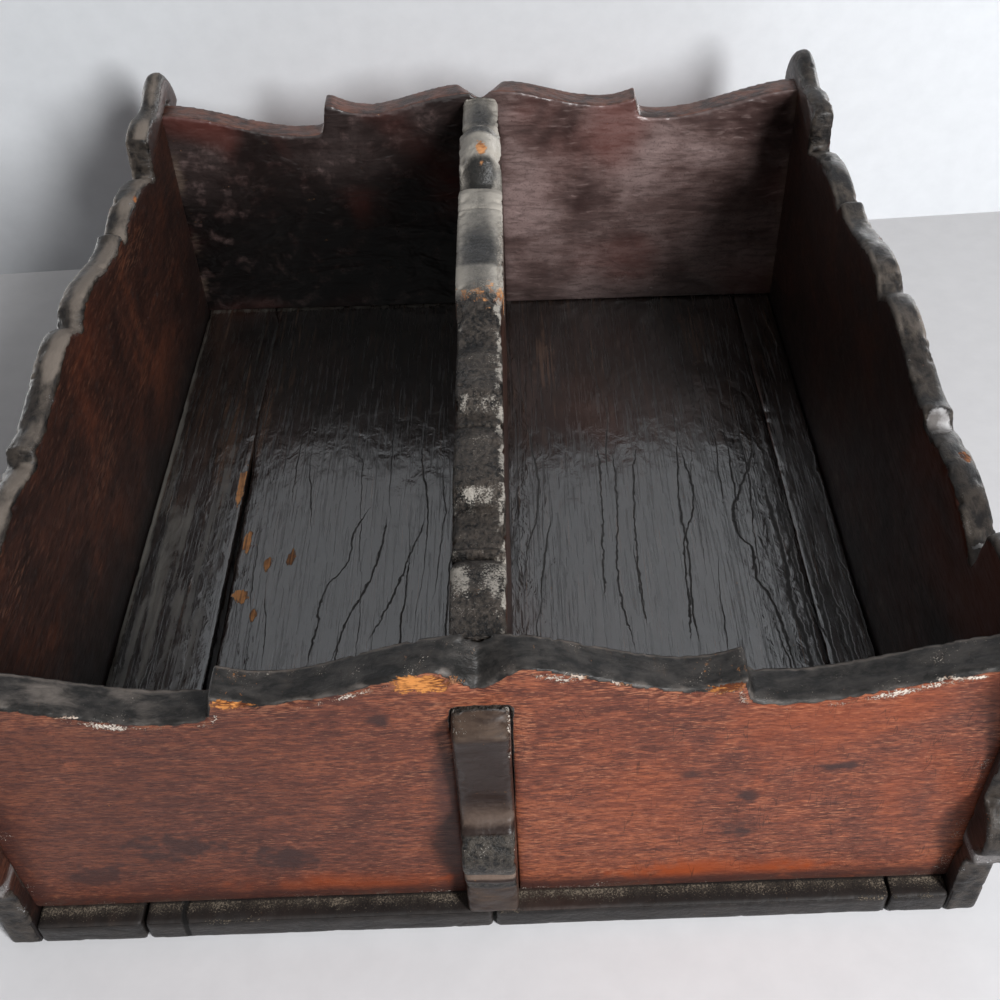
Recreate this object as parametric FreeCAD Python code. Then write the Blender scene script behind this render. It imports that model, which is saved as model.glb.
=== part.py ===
import FreeCAD, Part
import os
from FreeCAD import Vector

# A carved wooden tray with two compartments and no lid.
# +X is right, +Y is back, +Z is up. The origin is on the ground, in the middle of the footprint.
# Sizes are in millimetres. Rim heights are above the top of the floor, and a drop is below the rim's crest.

# Inside of the tray
inside_width = 200.0
inside_depth = 215.0

# Board thicknesses
side_thick = 7.0
wall_thick = 8.2
divider_thick = 11.0
floor_thick = 7.0

# Floor: the ledge in front of each wall, the two edge strips and the open joints between boards
ledge = 4.9
left_strip_width = 23.4
right_strip_width = 13.0
floor_joint = 0.6

# Joints between boards: how deep a wall sits in a side board, and the play round a fitted end
housing_depth = 2.0
fit_play = 0.1

# The rim's crest, and how much lower the left side board was cut
rim_crest = 79.5
left_board_drop = 3.0

# Scallops of the front and back walls, measured out from the middle
wall_crest_at = 9.0
wall_trough_at = 34.0
wall_trough_drop = 7.4
wall_lip_at = 49.0
wall_lip_drop = 5.6
wall_step_run = 1.5
wall_step_drop = 12.0
wall_low_run = 8.5
wall_low_drop = 12.7
wall_corner_drop = 4.2

# The groove in the middle of each wall's rim, wider and deeper on the outer face
groove_half_outside = 7.5
groove_depth_outside = 6.0
groove_half_inside = 4.0
groove_depth_inside = 1.4

# Scallops of the side boards and the divider, measured out from the middle
notch_drop = 3.9
notch_half = 4.5
shoulder_drop = 0.7
long_crest_at = 12.0
long_trough_at = 36.0
long_trough_drop = 4.9
long_lip_at = 44.5
long_lip_drop = 4.1
long_step_run = 1.2
long_step_drop = 8.0
second_crest_drop = 4.9
second_crest_share = 0.38
gap_from_wall = 23.0
gap_drop = 11.8

# Raised end: the flank and bead above the gap, on the side boards and the divider
flank_run = 1.5
bead_run = 6.5
bead_rise = 1.8

# Finial over each end of a side board, above the crest and out from the wall
dip_from_wall = 4.0
dip_rise = 0.8
finial_top_out = 1.0
finial_rise = 4.6
finial_nose_out = 12.0
finial_nose_drop = 4.5

# Carved ends below the finial, heights above the floor and distances out from the wall's face
foot_height = 11.5
tongue_out = 7.6
tongue_height = 18.0
tongue_thick = 1.2
flare_hollow = 0.6
knob_root_out = 4.6
knob_out = 9.2
knob_height = 27.5
neck_out = 2.6
neck_height = 35.0
waist_out = 3.6
waist_height = 50.0

# Bracket: the divider's end outside a wall
bracket_top = 68.2
bracket_lip_out = 5.2
bracket_lip_drop = 2.6

# Nails
nail_length = 20.0
nail_width = 1.5
nail_head_width = 3.2
nail_head_thick = 0.7
nail_point = 4.0
nail_tip = 0.4
nail_play = 0.05
corner_nail_low = 20.0
corner_nail_high = 50.0
side_nail_pitch = 85.0
divider_nail_pitch = 60.0
divider_nail_offset = 3.2

# Places worked out from the sizes above
floor_top = floor_thick
half_width = inside_width / 2
half_depth = inside_depth / 2
wall_face = half_depth + wall_thick
floor_end = wall_face + ledge
wall_middle = half_depth + wall_thick / 2
left_joint = -half_width + left_strip_width
right_joint = half_width - right_strip_width

x_axis = Vector(1, 0, 0)
z_axis = Vector(0, 0, 1)
origin = Vector(0, 0, 0)


def at(run, height):
    """A point of an outline, in the XZ plane, from its run and its height above the floor."""
    return Vector(run, 0, floor_top + height)


def smooth(points):
    """A smooth edge through a few points."""
    curve = Part.BSplineCurve()
    curve.interpolate(points)
    return curve.toShape()


def straight(points):
    """Straight edges from point to point."""
    return [Part.LineSegment(a, b).toShape() for a, b in zip(points, points[1:])]


def board(half_outline, thick):
    """A symmetric board, centred on the XZ plane, from the edges of its right half."""
    other_half = [edge.mirror(origin, x_axis) for edge in half_outline]
    wire = Part.Wire(Part.__sortEdges__(half_outline + other_half))
    solid = Part.Face(wire).extrude(Vector(0, thick, 0))
    solid.translate(Vector(0, -thick / 2, 0))
    return solid


def crest_lobe(crest, start, crest_at, trough_at, trough_drop, lip_at, lip_drop):
    """The middle lobe of a rim: over the crest, down to the trough and up to the lip."""
    slope = at((crest_at + trough_at) / 2, crest - trough_drop / 2)
    trough = at(trough_at, crest - trough_drop)
    return smooth([start, at(crest_at, crest), slope, trough, at(lip_at, crest - lip_drop)])


def wall_outline():
    """Right half of a wall: the rim from the middle to the end, then down and back along the floor."""
    end = half_width + housing_depth
    lobe = crest_lobe(rim_crest, at(0, rim_crest), wall_crest_at, wall_trough_at, wall_trough_drop,
                      wall_lip_at, wall_lip_drop)
    lip = at(wall_lip_at, rim_crest - wall_lip_drop)
    step_foot = at(wall_lip_at + wall_step_run, rim_crest - wall_step_drop)
    low = at(step_foot.x + wall_low_run, rim_crest - wall_low_drop)
    rise = at((low.x + half_width) / 2, rim_crest - (wall_low_drop + wall_corner_drop) / 2)
    corner = at(half_width, rim_crest - wall_corner_drop)
    tip = at(end, rim_crest - wall_corner_drop)
    sides = straight([lip, step_foot]) + straight([corner, tip, at(end, 0), at(0, 0)])
    return [lobe, smooth([step_foot, low, rise, corner])] + sides


def groove_triangle(y, half, depth):
    """One end of the rim groove, with its sides carried on above the rim by a fifth."""
    rise = depth / 5
    spread = half * 1.2
    top = floor_top + rim_crest + rise
    points = [Vector(0, y, floor_top + rim_crest - depth), Vector(spread, y, top), Vector(-spread, y, top)]
    return Part.makePolygon(points + points[:1])


def rim_groove():
    """The carved groove in the middle of a rim, as a wedge that opens towards the outer face (-Y)."""
    inner = groove_triangle(wall_thick / 2, groove_half_inside, groove_depth_inside)
    outer = groove_triangle(-wall_thick / 2, groove_half_outside, groove_depth_outside)
    return Part.makeLoft([inner, outer], True, True)


def wall():
    """A scalloped wall, centred on the XZ plane, slotted from below to straddle the divider."""
    slot_width = divider_thick + 2 * fit_play
    slot = Part.makeBox(slot_width, wall_thick, bracket_top + fit_play,
                        Vector(-slot_width / 2, -wall_thick / 2, floor_top))
    return board(wall_outline(), wall_thick).cut(rim_groove()).cut(slot)


def gap_point(crest):
    """Bottom of the narrow gap between the second lobe and the raised end."""
    return at(half_depth - gap_from_wall, crest - gap_drop)


def long_rim(crest):
    """Top of a side board or the divider from the middle notch to the flank of its raised end."""
    notch = at(0, crest - notch_drop)
    shoulder = at(notch_half, crest - shoulder_drop)
    lobe = crest_lobe(crest, shoulder, long_crest_at, long_trough_at, long_trough_drop,
                      long_lip_at, long_lip_drop)
    lip = at(long_lip_at, crest - long_lip_drop)
    step_foot = at(long_lip_at + long_step_run, crest - long_step_drop)
    gap = gap_point(crest)
    second_at = step_foot.x + second_crest_share * (gap.x - step_foot.x)
    second = smooth([step_foot, at(second_at, crest - second_crest_drop), gap])
    flank = straight([gap, flank_point(crest)])
    return straight([notch, shoulder]) + [lobe] + straight([lip, step_foot]) + [second] + flank


def flank_point(crest):
    """Top of the steep flank above the gap."""
    return at(half_depth - gap_from_wall + flank_run, crest)


def bead_point(crest):
    """Top of the bead above the flank."""
    return at(half_depth - gap_from_wall + flank_run + bead_run, crest + bead_rise)


def out(distance, height):
    """A point of a carved end, by its distance out from the wall's face."""
    return at(wall_face + distance, height)


def carved_end(ground, upper):
    """The end of a board from the point above its waist down to its foot, which stands at ground."""
    neck = out(neck_out, neck_height)
    waist = smooth([upper, out(waist_out, waist_height), neck])
    root = out(knob_root_out, tongue_height + tongue_thick)
    knob = Part.Arc(neck, out(knob_out, knob_height), root).toShape()
    tongue = out(tongue_out, tongue_height + tongue_thick)
    tongue_under = out(tongue_out, tongue_height)
    foot = out(ledge, foot_height)
    hollow = out((ledge + tongue_out) / 2 - flare_hollow, (foot_height + tongue_height) / 2 + flare_hollow)
    flare = Part.Arc(tongue_under, hollow, foot).toShape()
    flats = straight([root, tongue, tongue_under]) + straight([foot, out(ledge, ground), at(0, ground)])
    return [waist, knob, flare] + flats


def side_board_outline(crest):
    """Right half of a side board, with its finial, from the middle notch round to the ground."""
    dip = at(half_depth - dip_from_wall, crest + dip_rise)
    top = out(finial_top_out, crest + finial_rise)
    nose = out(finial_nose_out, crest - finial_nose_drop)
    finial = smooth([flank_point(crest), bead_point(crest), dip, top, nose])
    return long_rim(crest) + [finial] + carved_end(-floor_top, nose)


def side_board(side, crest):
    """A side board with a housing for each wall on its inner face. Side is -1 for left, 1 for right."""
    solid = board(side_board_outline(crest), side_thick)
    width = wall_thick + 2 * fit_play
    height = rim_crest - wall_corner_drop + fit_play
    for end in (-wall_middle, wall_middle):
        corner = Vector(end - width / 2, side_thick / 2 - housing_depth, floor_top)
        solid = solid.cut(Part.makeBox(width, housing_depth, height, corner))
    solid.rotate(origin, z_axis, 90 * side)
    solid.translate(Vector(side * (half_width + side_thick / 2), 0, 0))
    return solid


def divider():
    """The divider: a long rim inside, halved under each wall, and a carved bracket outside it."""
    inner_end = half_depth - fit_play
    rim_end = at(inner_end, rim_crest)
    raised = smooth([flank_point(rim_crest), bead_point(rim_crest), rim_end])
    lip = out(bracket_lip_out, bracket_top - bracket_lip_drop)
    halving = straight([rim_end, at(inner_end, bracket_top), out(0, bracket_top), lip])
    outline = long_rim(rim_crest) + [raised] + halving + carved_end(0, lip)
    solid = board(outline, divider_thick)
    solid.rotate(origin, z_axis, 90)
    return solid


def floor_board(left, right):
    """A floor board between two X places, running out past both walls as a ledge."""
    return Part.makeBox(right - left, 2 * floor_end, floor_thick, Vector(left, -floor_end, 0))


def floor_boards():
    """The four floor boards, with their open joints."""
    half_joint = floor_joint / 2
    return {
        "floor_left_strip": floor_board(-half_width, left_joint - half_joint),
        "floor_left_board": floor_board(left_joint + half_joint, -half_joint),
        "floor_right_board": floor_board(half_joint, right_joint - half_joint),
        "floor_right_strip": floor_board(right_joint + half_joint, half_width),
    }


def nail(play=0.0):
    """A square forged nail along +Z, its head's top at the origin. Play makes it the hole that takes it."""
    head = nail_head_width + 2 * play
    shank = nail_width + 2 * play
    head_block = Part.makeBox(head, head, nail_head_thick, Vector(-head / 2, -head / 2, 0))
    run = nail_length - nail_point
    shank_block = Part.makeBox(shank, shank, run, Vector(-shank / 2, -shank / 2, 0))
    tip = nail_tip + 2 * play
    base = Part.makePlane(shank, shank, Vector(-shank / 2, -shank / 2, run)).OuterWire
    end = Part.makePlane(tip, tip, Vector(-tip / 2, -tip / 2, nail_length + play)).OuterWire
    return head_block.fuse([shank_block, Part.makeLoft([base, end], True, True)]).removeSplitter()


def nail_places():
    """Where each group's nails start, and which way they are driven."""
    side = half_width + side_thick
    groups = {}
    for x_name, x in (("left", -side), ("right", side)):
        inward = Vector(-x, 0, 0).normalize()
        for y_name, y in (("front", -wall_middle), ("back", wall_middle)):
            heights = (floor_top + corner_nail_low, floor_top + corner_nail_high)
            groups["nails_" + y_name + "_" + x_name] = [(Vector(x, y, z), inward) for z in heights]
        runs = (-side_nail_pitch, 0, side_nail_pitch)
        groups["nails_floor_" + x_name] = [(Vector(x, y, floor_thick / 2), inward) for y in runs]
    middles = ((-half_width + left_joint) / 2, left_joint / 2, right_joint / 2,
               (half_width + right_joint) / 2)
    for y_name, y in (("front", -wall_middle), ("back", wall_middle)):
        groups["nails_under_" + y_name] = [(Vector(x, y, 0), z_axis) for x in middles]
    steps = ((-divider_nail_pitch, 1), (0, -1), (divider_nail_pitch, 1))
    groups["nails_under_divider"] = [(Vector(s * divider_nail_offset, y, 0), z_axis) for y, s in steps]
    return groups


def driven(shape, place, direction):
    """A copy of a nail or its hole, put at its place and turned to its direction."""
    copy = shape.copy()
    copy.Placement = FreeCAD.Placement(place, FreeCAD.Rotation(z_axis, direction))
    return copy


front_wall = wall()
front_wall.translate(Vector(0, -wall_middle, 0))
back_wall = wall()
back_wall.rotate(origin, z_axis, 180)
back_wall.translate(Vector(0, wall_middle, 0))

boards = {
    "side_board_left": side_board(-1, rim_crest - left_board_drop),
    "side_board_right": side_board(1, rim_crest),
    "front_wall": front_wall,
    "back_wall": back_wall,
    "divider": divider(),
}
boards.update(floor_boards())

places = nail_places()
hole = nail(nail_play)
holes = Part.makeCompound([driven(hole, *spot) for group in places.values() for spot in group])

os.makedirs("parts", exist_ok=True)
for name, solid in boards.items():
    solid.cut(holes).exportStep("parts/" + name + ".step")
for name, group in places.items():
    Part.makeCompound([driven(nail(), *spot) for spot in group]).exportStep("parts/" + name + ".step")
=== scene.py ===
import math
import bpy
import numpy as np
from mathutils import Matrix, Vector, kdtree, noise


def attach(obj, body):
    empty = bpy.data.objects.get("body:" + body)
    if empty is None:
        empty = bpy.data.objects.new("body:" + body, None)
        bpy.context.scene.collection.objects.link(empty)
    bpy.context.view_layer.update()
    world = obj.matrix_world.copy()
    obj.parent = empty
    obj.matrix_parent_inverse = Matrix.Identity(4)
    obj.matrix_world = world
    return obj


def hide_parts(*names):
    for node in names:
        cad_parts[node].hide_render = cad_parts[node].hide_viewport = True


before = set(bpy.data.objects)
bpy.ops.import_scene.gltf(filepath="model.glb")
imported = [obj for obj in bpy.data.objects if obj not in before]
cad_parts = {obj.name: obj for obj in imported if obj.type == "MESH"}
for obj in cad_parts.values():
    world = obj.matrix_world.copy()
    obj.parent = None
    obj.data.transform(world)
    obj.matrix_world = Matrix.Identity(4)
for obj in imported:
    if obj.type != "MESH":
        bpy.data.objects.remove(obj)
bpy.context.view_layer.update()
scene = bpy.context.scene
mm = 0.001
print("frame loaded:", len(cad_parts), "nodes")


# Small helpers for modelling

weldGap = 0.002  # vertices closer than this, in millimetres, become one
seedStep = np.array([7.31, 3.17, 5.73])  # how far apart two seeds lie in the noise
fromFront, fromAbove = (0, 2), (0, 1)  # the two axes that a face shows, seen from there
patchEdge = {"lumps": 2.6, "crumbs": 1.1, "crumbShare": 0.5, "reach": 1.25, "fade": (0.1, 0.75)}


def selectOnly(piece):
    bpy.ops.object.select_all(action="DESELECT")
    piece.select_set(True)
    bpy.context.view_layer.objects.active = piece


def applyModifier(piece, kind, **settings):
    modifier = piece.modifiers.new(kind.lower(), kind)
    for key, value in settings.items():
        setattr(modifier, key, value)
    selectOnly(piece)
    bpy.ops.object.modifier_apply(modifier=modifier.name)


def easeOver(piece, rounds):
    applyModifier(piece, "SMOOTH", factor=0.5, iterations=rounds)


def boardCopy(nodeName, pieceName, voxel, rounding):
    # merged copy of the board, remeshed evenly so that its arrises can be rounded and worn
    piece = bpy.data.objects.new(pieceName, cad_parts[nodeName].data.copy())
    scene.collection.objects.link(piece)
    piece.data.materials.clear()
    selectOnly(piece)
    bpy.ops.object.mode_set(mode="EDIT")
    bpy.ops.mesh.select_all(action="SELECT")
    bpy.ops.mesh.remove_doubles(threshold=weldGap * mm)
    bpy.ops.object.mode_set(mode="OBJECT")
    applyModifier(piece, "REMESH", mode="VOXEL", voxel_size=voxel * mm, use_smooth_shade=True)
    easeOver(piece, rounding)
    return piece


def pointsOf(piece):
    # vertex places in millimetres
    flat = np.zeros(len(piece.data.vertices) * 3)
    piece.data.vertices.foreach_get("co", flat)
    return flat.reshape(-1, 3) / mm


def normalsOf(piece):
    flat = np.zeros(len(piece.data.vertices) * 3)
    piece.data.vertices.foreach_get("normal", flat)
    return flat.reshape(-1, 3)


def setPoints(piece, points):
    piece.data.vertices.foreach_set("co", (points * mm).ravel())
    piece.data.update()


def noiseAt(points, size, seed):
    # soft noise, about -1 to 1; its lump size in millimetres is one number or one for each axis
    spread = points / np.array(size, float) + seed * seedStep
    return np.array([noise.noise(p) for p in spread.tolist()])


def soft(value, low, high):
    t = np.clip((value - low) / (high - low), 0, 1)
    return t * t * (3 - 2 * t)


def band(value, rise, fall):
    # 1 between a rise and a fall, each given by its start and end
    return soft(value, *rise) * (1 - soft(value, *fall))


def near(distance, reach):
    # 1 at no distance, fading out over the reach
    return np.exp(-(distance / reach) ** 2)


def most(*layers):
    # the strongest of several layers at each point
    return np.maximum.reduce(np.broadcast_arrays(*layers))


def follow(values, pairs):
    # reads a list of (place, amount) pairs at the given places
    return np.interp(values, [p[0] for p in pairs], [p[1] for p in pairs])


def store(piece, **layers):
    for name, values in layers.items():
        layer = piece.data.attributes.new(name, "FLOAT", "POINT")
        layer.data.foreach_set("value", np.clip(values, 0, 1).astype(np.float32))


def nearest(points, targets):
    # distance in millimetres from each point to the nearest target
    tree = kdtree.KDTree(len(targets))
    for i, target in enumerate(targets.tolist()):
        tree.insert(target, i)
    tree.balance()
    return np.array([tree.find(p)[2] for p in points.tolist()])


def patches(points, axes, spots, seed, rag=0.5):
    # ragged patches round named places: (across, up, half width, half height)
    across, up = points[:, axes[0]], points[:, axes[1]]
    ragged = noiseAt(points, patchEdge["lumps"], seed)
    ragged += patchEdge["crumbShare"] * noiseAt(points, patchEdge["crumbs"], seed + 1)
    value = np.zeros(len(points))
    for x, z, wide, high in spots:
        away = np.hypot((across - x) / wide, (up - z) / high)
        value = np.maximum(value, soft(patchEdge["reach"] - away + rag * ragged, *patchEdge["fade"]))
    return value


# Camera, at the photograph's viewing angle

photoView = {"place": (8.76, -248.46, 260.42), "pitch": 0.73835, "yaw": 0.01395, "roll": -0.02275,
             "lens": 43.66, "sensor": 36.0, "shift": (-0.0317, -0.0527), "clip": 0.01}


def addCamera(view):
    pitch, yaw, roll = view["pitch"], view["yaw"], view["roll"]
    level = Vector((math.cos(yaw), -math.sin(yaw), 0))
    forward = Vector((math.sin(yaw) * math.cos(pitch), math.cos(yaw) * math.cos(pitch), -math.sin(pitch)))
    above = level.cross(forward)
    right = level * math.cos(roll) + above * math.sin(roll)
    up = above * math.cos(roll) - level * math.sin(roll)
    data = bpy.data.cameras.new("photoCamera")
    data.lens = view["lens"]
    data.sensor_width = view["sensor"]
    data.shift_x, data.shift_y = view["shift"]
    data.clip_start = view["clip"]
    camera = bpy.data.objects.new("photoCamera", data)
    turn = Matrix((right, up, -forward)).transposed().to_4x4()
    camera.matrix_world = Matrix.Translation(Vector(view["place"]) * mm) @ turn
    scene.collection.objects.link(camera)
    scene.camera = camera


addCamera(photoView)
scene.view_settings.view_transform = "Standard"
print("camera set")


# Node helpers for the finishes

def put(tree, kind, inputs=None, **settings):
    made = tree.nodes.new(kind)
    for key, value in settings.items():
        setattr(made, key, value)
    for key, value in (inputs or {}).items():
        if isinstance(value, bpy.types.NodeSocket):
            tree.links.new(value, made.inputs[key])
        else:
            made.inputs[key].default_value = value
    return made


def maths(tree, operation, first, second=0.0, third=0.0, clamp=False):
    made = put(tree, "ShaderNodeMath", {0: first, 1: second, 2: third}, operation=operation, use_clamp=clamp)
    return made.outputs[0]


def times(tree, first, *others):
    for other in others:
        first = maths(tree, "MULTIPLY", first, other)
    return first


def highest(tree, first, *others):
    for other in others:
        first = maths(tree, "MAXIMUM", first, other)
    return first


def added(tree, base, layer, amount):
    # a value with so much of a layer on top
    return maths(tree, "MULTIPLY_ADD", layer, amount, base)


def centred(tree, value):
    # noise about 0 in place of about a half
    return maths(tree, "SUBTRACT", value, 0.5)


def stirred(tree, base, speckle, weight):
    # a value pushed up and down by noise
    return added(tree, base, centred(tree, speckle), weight)


def mixed(tree, first, second, share):
    # the first noise by its share, and the second by the rest
    return added(tree, times(tree, second, 1 - share), first, share)


def blendColour(tree, share, first, second):
    return put(tree, "ShaderNodeMix", {0: share, 6: first, 7: second}, data_type="RGBA").outputs[2]


def blendValue(tree, share, first, second):
    return put(tree, "ShaderNodeMix", {0: share, 2: first, 3: second}, data_type="FLOAT").outputs[0]


def between(tree, value, low, high):
    return put(tree, "ShaderNodeMapRange", {0: value, 1: low, 2: high, 3: 0.0, 4: 1.0},
               interpolation_type="SMOOTHSTEP").outputs[0]


def grainNoise(tree, space, scale, detail=4.0, rough=0.55, twist=0.0):
    mapped = put(tree, "ShaderNodeMapping", {"Vector": space, "Scale": scale}).outputs[0]
    return put(tree, "ShaderNodeTexNoise", {"Vector": mapped, "Scale": 1.0, "Detail": detail,
                                            "Roughness": rough, "Distortion": twist}).outputs[0]


def evenNoise(tree, space, scale, *settings):
    return grainNoise(tree, space, (scale,) * 3, *settings)


def layerOf(tree, name):
    return put(tree, "ShaderNodeAttribute", attribute_name=name).outputs["Fac"]


def linear(red, green, blue):
    # a colour as it is seen, 0 to 255, to the shader's scale
    seen = [c / 255 for c in (red, green, blue)]
    return tuple(((c + 0.055) / 1.055) ** 2.4 if c > 0.04 else c / 12.92 for c in seen)


def colourRamp(tree, value, places, tones):
    made = put(tree, "ShaderNodeValToRGB", {0: value})
    ramp = made.color_ramp
    while len(ramp.elements) < len(places):
        ramp.elements.new(0.5)
    for element, place, tone in zip(ramp.elements, places, tones):
        element.position = place
        element.color = (*linear(*tone), 1)
    return made.outputs[0]


def tinted(tree, share, base, tone):
    # a tone laid over a colour by its share
    return blendColour(tree, share, base, (*linear(*tone), 1))


def broken(tree, layer, speckle, width, weight):
    # a layer's coverage, its edge broken up by fine noise
    return between(tree, stirred(tree, layer, speckle, weight), 0.5 - width, 0.5 + width)


def bumpTo(tree, shader, height):
    # height is in millimetres
    bump = put(tree, "ShaderNodeBump", {"Strength": 1.0, "Distance": mm, "Height": height})
    tree.links.new(bump.outputs[0], shader.inputs["Normal"])


def newFinish(name):
    material = bpy.data.materials.new(name)
    material.use_nodes = True
    tree = material.node_tree
    tree.nodes.clear()
    shader = put(tree, "ShaderNodeBsdfPrincipled")
    end = put(tree, "ShaderNodeOutputMaterial")
    tree.links.new(shader.outputs[0], end.inputs[0])
    space = put(tree, "ShaderNodeTexCoord").outputs["Object"]
    return material, tree, shader, space


# Wood: varnish, black painted edges, wear, dust and cracks, from the layers on each mesh

# what all wooden finishes share: noise scales per metre, where a noise starts and ends to show as a mark,
# the width and weight of each layer's broken edge, and heights in millimetres
woodMarks = {"speckle": 1500.0, "smudge": 160.0, "grit": 2400.0,
             "tones": (0.39, 0.5, 0.61), "pores": (0.5, 0.64), "mottle": (0.52, 0.68),
             "dry": (0.43, 0.29), "rubbedDry": -0.17, "grimeAndShadeEdge": (0.1, 0.5), "glowing": (0.35, 0.62),
             "paintMix": 0.65, "paintTones": (0.43, 0.58), "paintEdge": (0.12, 0.35),
             "speckEdge": 0.12, "speckShare": 0.8,
             "bareMix": 0.5, "bareTones": (0.43, 0.55), "bareEdge": (0.16, 2.4), "bareHeight": -0.12,
             "filmMix": 0.6, "filmEdge": (0.4, 1.4), "filmShare": 0.7,
             "gritWeight": 1.7, "gritty": (0.42, 0.56), "dusty": (0.02, 0.1),
             "dustTones": (0.4, 0.58), "dustHeight": 0.22,
             "wornMatt": 0.4, "mattRough": 0.9, "leastRough": 0.07, "crackTone": (5, 4, 4)}
hairCracks = {"grain": (270.0, 270.0, 38.0), "width": 0.009, "breaks": 150.0, "lengths": (0.47, 0.56),
              "tone": (34, 17, 13)}

# cracks that follow a route: the span in millimetres that a curve's 0 to 1 stands for, how far noise
# pushes a crack aside, and the share of its length over which each end thins out
routedCracks = {"span": 240.0, "rag": 2.2, "ragGrain": (420.0, 260.0, 60.0), "ends": 0.15, "strength": 1.8}


def fineNoises(tree, space, look):
    return {"grain": grainNoise(tree, space, look["grain"], 5.0, 0.6, 0.3),
            "dashes": grainNoise(tree, space, look["dashes"], 3.0, 0.6, 0.2),
            "cloud": evenNoise(tree, space, look["cloud"], 3.0, 0.55, 0.6),
            "speckle": evenNoise(tree, space, woodMarks["speckle"], 3.0, 0.7),
            "smudge": evenNoise(tree, space, woodMarks["smudge"], 4.0, 0.6),
            "grit": evenNoise(tree, space, woodMarks["grit"], 4.0, 0.75),
            "brushed": grainNoise(tree, space, look["paintGrain"], 5.0, 0.65, 0.3),
            "lumps": grainNoise(tree, space, look["lumps"], 3.0, 0.55, 0.4)}


def woodTone(tree, look, fine, pores):
    tone = mixed(tree, fine["grain"], fine["cloud"], 1 - look["cloudShare"])
    wood = colourRamp(tree, tone, woodMarks["tones"], (look["dark"], look["mid"], look["light"]))
    wood = tinted(tree, pores, wood, look["pore"])
    mottle = times(tree, between(tree, fine["speckle"], *woodMarks["mottle"]), look["mottle"])
    wood = tinted(tree, mottle, wood, look["dark"])
    dry = added(tree, fine["dashes"], layerOf(tree, "rubbed"), woodMarks["rubbedDry"])
    flash = times(tree, between(tree, dry, *woodMarks["dry"]), look["flashShare"])
    wood = tinted(tree, flash, wood, look["flash"])
    # this layer darkens the wood with real dirt and stains, and with painted shade
    grime = times(tree, layerOf(tree, "grime"), between(tree, fine["smudge"], *woodMarks["grimeAndShadeEdge"]))
    wood = tinted(tree, grime, wood, look["grimeTone"])
    # this layer warms the wood; over the front wall's right it is painted light
    glow = times(tree, layerOf(tree, "glow"), between(tree, fine["cloud"], *woodMarks["glowing"]))
    return tinted(tree, glow, wood, look["glowTone"])


def crazed(tree, space, colour, share):
    # hair cracks across the grain, broken up into short lengths
    hair = grainNoise(tree, space, hairCracks["grain"], 2.0, 0.55, 0.1)
    line = between(tree, maths(tree, "ABSOLUTE", centred(tree, hair)), hairCracks["width"], 0.0)
    lengths = between(tree, evenNoise(tree, space, hairCracks["breaks"], 2.0, 0.5), *hairCracks["lengths"])
    shown = times(tree, line, lengths, layerOf(tree, "crazed"), share)
    return tinted(tree, shown, colour, hairCracks["tone"])


def paintTone(tree, look, fine):
    # brushed paint, smooth or rough, and how far it is worn
    tone = mixed(tree, fine["brushed"], fine["smudge"], woodMarks["paintMix"])
    painted = colourRamp(tree, tone, woodMarks["paintTones"], (look["paintDark"], look["paintLight"]))
    rough = layerOf(tree, "rough")
    if look.get("smoothTone"):
        painted = tinted(tree, maths(tree, "SUBTRACT", 1.0, rough), painted, look["smoothTone"])
    worn = broken(tree, layerOf(tree, "worn"), fine["brushed"], look["wornEdge"], look["wornBreak"])
    if look.get("specks"):
        specks = broken(tree, layerOf(tree, "worn"), fine["grit"], woodMarks["speckEdge"], look["specks"])
        worn = blendValue(tree, rough, worn, times(tree, specks, woodMarks["speckShare"]))
    return tinted(tree, worn, painted, look["wornTone"]), worn


def bareWood(tree, look, fine):
    tone = mixed(tree, fine["dashes"], fine["smudge"], woodMarks["bareMix"])
    raw = colourRamp(tree, tone, woodMarks["bareTones"], (look["bareDark"], look["bareLight"]))
    ragged = mixed(tree, fine["speckle"], fine["dashes"], woodMarks["bareMix"])
    return raw, broken(tree, layerOf(tree, "bare"), ragged, *woodMarks["bareEdge"])


def dustGrains(tree, look, fine):
    # dust and crust in ragged grains, denser where the layer is stronger
    layer = layerOf(tree, "dust")
    shifted = stirred(tree, layer, fine["grit"], woodMarks["gritWeight"])
    shifted = stirred(tree, shifted, fine["smudge"], look["clump"])
    grains = between(tree, shifted, *woodMarks["gritty"])
    dust = times(tree, grains, between(tree, layer, *woodMarks["dusty"]))
    pale = colourRamp(tree, fine["smudge"], woodMarks["dustTones"], (look["dustDark"], look["dustTone"]))
    return pale, dust


def lineAt(tree, off, width, least):
    # 1 in the middle of a line, 0 from its edges on
    across = maths(tree, "DIVIDE", off, maths(tree, "MAXIMUM", width, least))
    return maths(tree, "SUBTRACT", 1.0, across, clamp=True)


def routedCrack(tree, parts, ragged, route, width):
    # one crack along a route of (x, y) points in millimetres
    span, ends = routedCracks["span"], routedCracks["ends"]
    start, end = route[0][1], route[-1][1]
    along = put(tree, "ShaderNodeMapRange", {0: parts.outputs[1], 1: start * mm, 2: end * mm}).outputs[0]
    made = put(tree, "ShaderNodeFloatCurve", {"Value": along})
    curve = made.mapping.curves[0]
    places = [((y - start) / (end - start), x / span + 0.5) for x, y in route]
    curve.points[0].location = places[0]
    curve.points[1].location = places[-1]
    for place in places[1:-1]:
        curve.points.new(*place)
    made.mapping.update()
    middle = times(tree, centred(tree, made.outputs[0]), span * mm)
    middle = stirred(tree, middle, ragged, routedCracks["rag"] * mm)
    off = maths(tree, "ABSOLUTE", maths(tree, "SUBTRACT", parts.outputs[0], middle))
    taper = times(tree, between(tree, along, 0.0, ends), between(tree, along, 1.0, 1 - ends), width * mm)
    return lineAt(tree, off, taper, 1e-6)


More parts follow.
